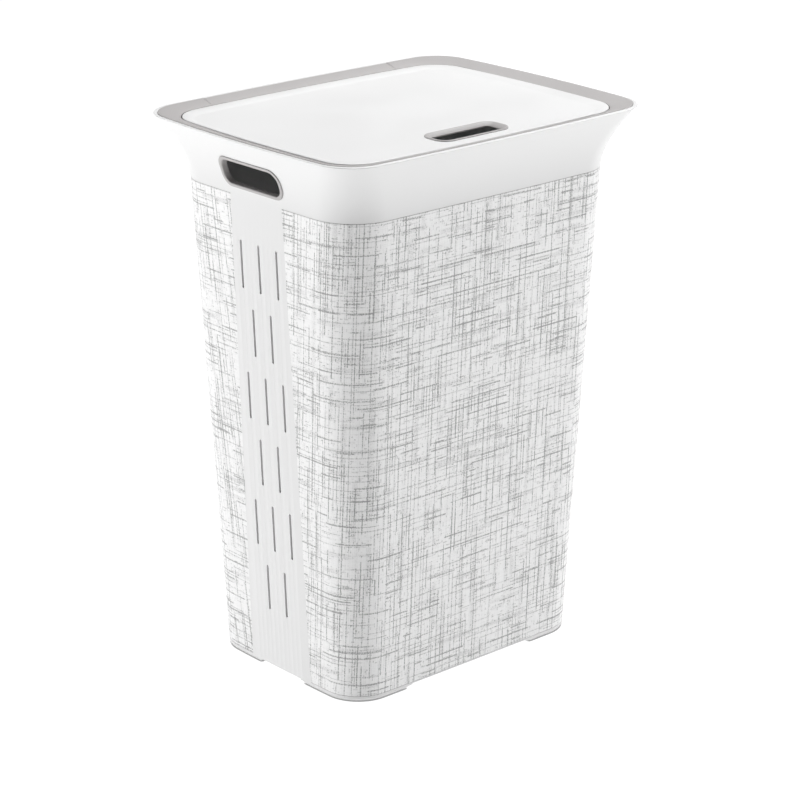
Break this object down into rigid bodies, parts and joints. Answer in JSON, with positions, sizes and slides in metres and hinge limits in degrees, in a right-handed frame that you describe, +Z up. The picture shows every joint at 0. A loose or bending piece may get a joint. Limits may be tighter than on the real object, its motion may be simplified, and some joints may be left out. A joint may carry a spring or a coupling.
{
  "type": "laundry hamper",
  "caption": "Tall tapered laundry hamper with flared collar, hand holes, vent slots and a lid hinged at the back.",
  "frame": {"origin": "on the floor under the middle of the basket's outline", "axes": "+X along the long side, -Y out of the front (the lid's finger hole is near it), +Y to the hinges, +Z up"},
  "size_m": [0.442, 0.3504, 0.6096],
  "materials": {
    "white_plastic": "satin white moulded polypropylene",
    "grey_plastic": "fine satin warm grey moulded polypropylene",
    "linen_print": "in-mould film printed with a grey linen weave on white",
    "pin_steel": "bright drawn wire"
  },
  "bodies": {
    "basket": {"basket_shell": "white_plastic", "print_film_front": "linen_print", "print_film_rear": "linen_print", "rim_frame": "grey_plastic", "side_handle_bezel_left": "grey_plastic", "side_handle_bezel_right": "grey_plastic", "hinge_pin_left": "pin_steel", "hinge_pin_right": "pin_steel"},
    "lid": {"lid_panel": "white_plastic", "lid_handle_bezel": "grey_plastic", "hinge_strip": "grey_plastic"}
  },
  "joints": [
    {"name": "lid_hinge", "type": "hinge", "parent": "basket", "child": "lid", "pos_m": [0, 0.1636, 0.6061], "axis": [-1, 0, 0], "range_deg": [0, 124]}
  ]
}
